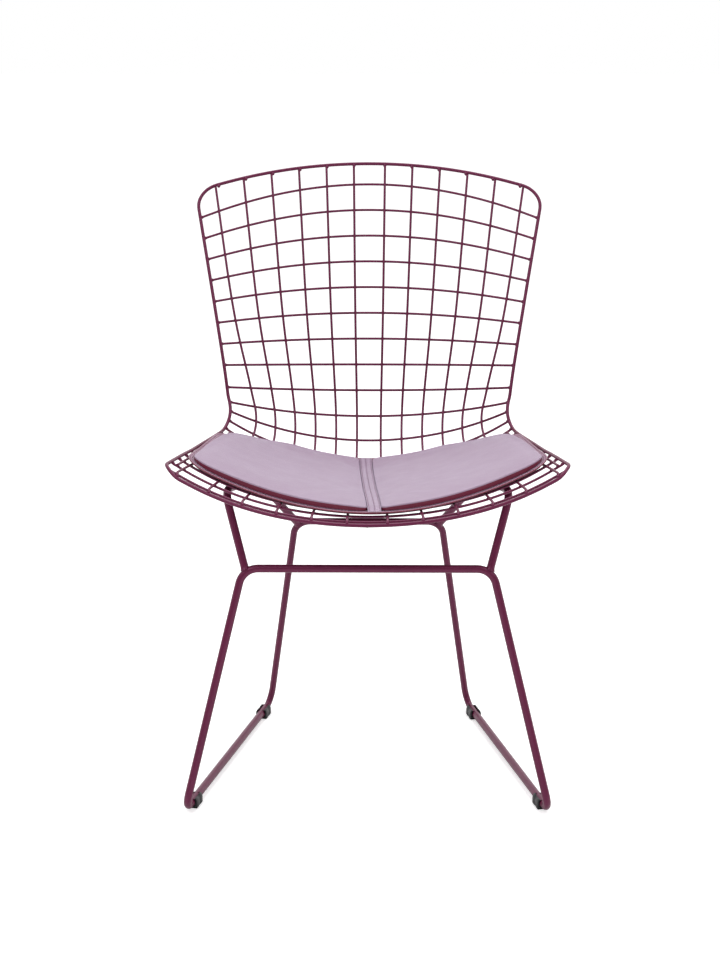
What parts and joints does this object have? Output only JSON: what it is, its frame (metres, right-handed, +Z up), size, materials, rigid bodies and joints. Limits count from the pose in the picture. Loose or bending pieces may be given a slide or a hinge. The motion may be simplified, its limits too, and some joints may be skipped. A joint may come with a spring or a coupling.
{
  "type": "wire mesh side chair",
  "caption": "Side chair with a curved welded wire seat and back shell, rim wire, bent rod sled base with runners and glides, and a sewn leather seat pad.",
  "frame": {"origin": "on the floor, in the middle of the chair's box in plan", "axes": "+Z up, -Y towards the front where the sitter's knees are, +X to the sitter's left"},
  "size_m": [0.5392, 0.5917, 0.8304],
  "materials": {
    "coated_wire": "satin powder coat",
    "coated_rod": "satin powder coat",
    "coated_clamp": "satin powder coat",
    "screw_steel": "zinc plated",
    "glide_plastic": "moulded, fine grain",
    "pad_board": "dark backing sheet",
    "pad_edge_leather": "smooth leather, stitched",
    "pad_leather": "smooth leather, fine grain"
  },
  "bodies": {
    "root": {"back_cross_wire_01": "coated_wire", "back_cross_wire_02": "coated_wire", "back_cross_wire_03": "coated_wire", "back_cross_wire_04": "coated_wire", "back_cross_wire_05": "coated_wire", "back_cross_wire_06": "coated_wire", "back_cross_wire_07": "coated_wire", "back_cross_wire_08": "coated_wire", "back_cross_wire_09": "coated_wire", "back_cross_wire_10": "coated_wire", "back_cross_wire_11": "coated_wire", "back_cross_wire_12": "coated_wire", "centre_strip": "pad_leather", "clamp_screws": "screw_steel", "front_frame": "coated_rod", "left_cushion": "pad_leather", "left_front_glide": "glide_plastic", "left_front_seat_clamp": "coated_clamp", "left_long_wire_1": "coated_wire", "left_long_wire_2": "coated_wire", "left_long_wire_3": "coated_wire", "left_long_wire_4": "coated_wire", "left_long_wire_5": "coated_wire", "left_long_wire_6": "coated_wire", "left_rear_glide": "glide_plastic", "left_rear_seat_clamp": "coated_clamp", "left_side_rail": "coated_rod", "left_side_wire": "coated_wire", "pad_board": "pad_board", "pad_flange": "pad_edge_leather", "rear_frame": "coated_rod", "right_cushion": "pad_leather", "right_front_glide": "glide_plastic", "right_front_seat_clamp": "coated_clamp", "right_long_wire_1": "coated_wire", "right_long_wire_2": "coated_wire", "right_long_wire_3": "coated_wire", "right_long_wire_4": "coated_wire", "right_long_wire_5": "coated_wire", "right_long_wire_6": "coated_wire", "right_rear_glide": "glide_plastic", "right_rear_seat_clamp": "coated_clamp", "right_side_rail": "coated_rod", "right_side_wire": "coated_wire", "rim_wire": "coated_wire", "seat_cross_wire_01": "coated_wire", "seat_cross_wire_02": "coated_wire", "seat_cross_wire_03": "coated_wire", "seat_cross_wire_04": "coated_wire", "seat_cross_wire_05": "coated_wire", "seat_cross_wire_06": "coated_wire", "seat_cross_wire_07": "coated_wire", "seat_cross_wire_08": "coated_wire", "seat_cross_wire_09": "coated_wire", "seat_cross_wire_10": "coated_wire", "seat_cross_wire_11": "coated_wire"}
  },
  "joints": []
}
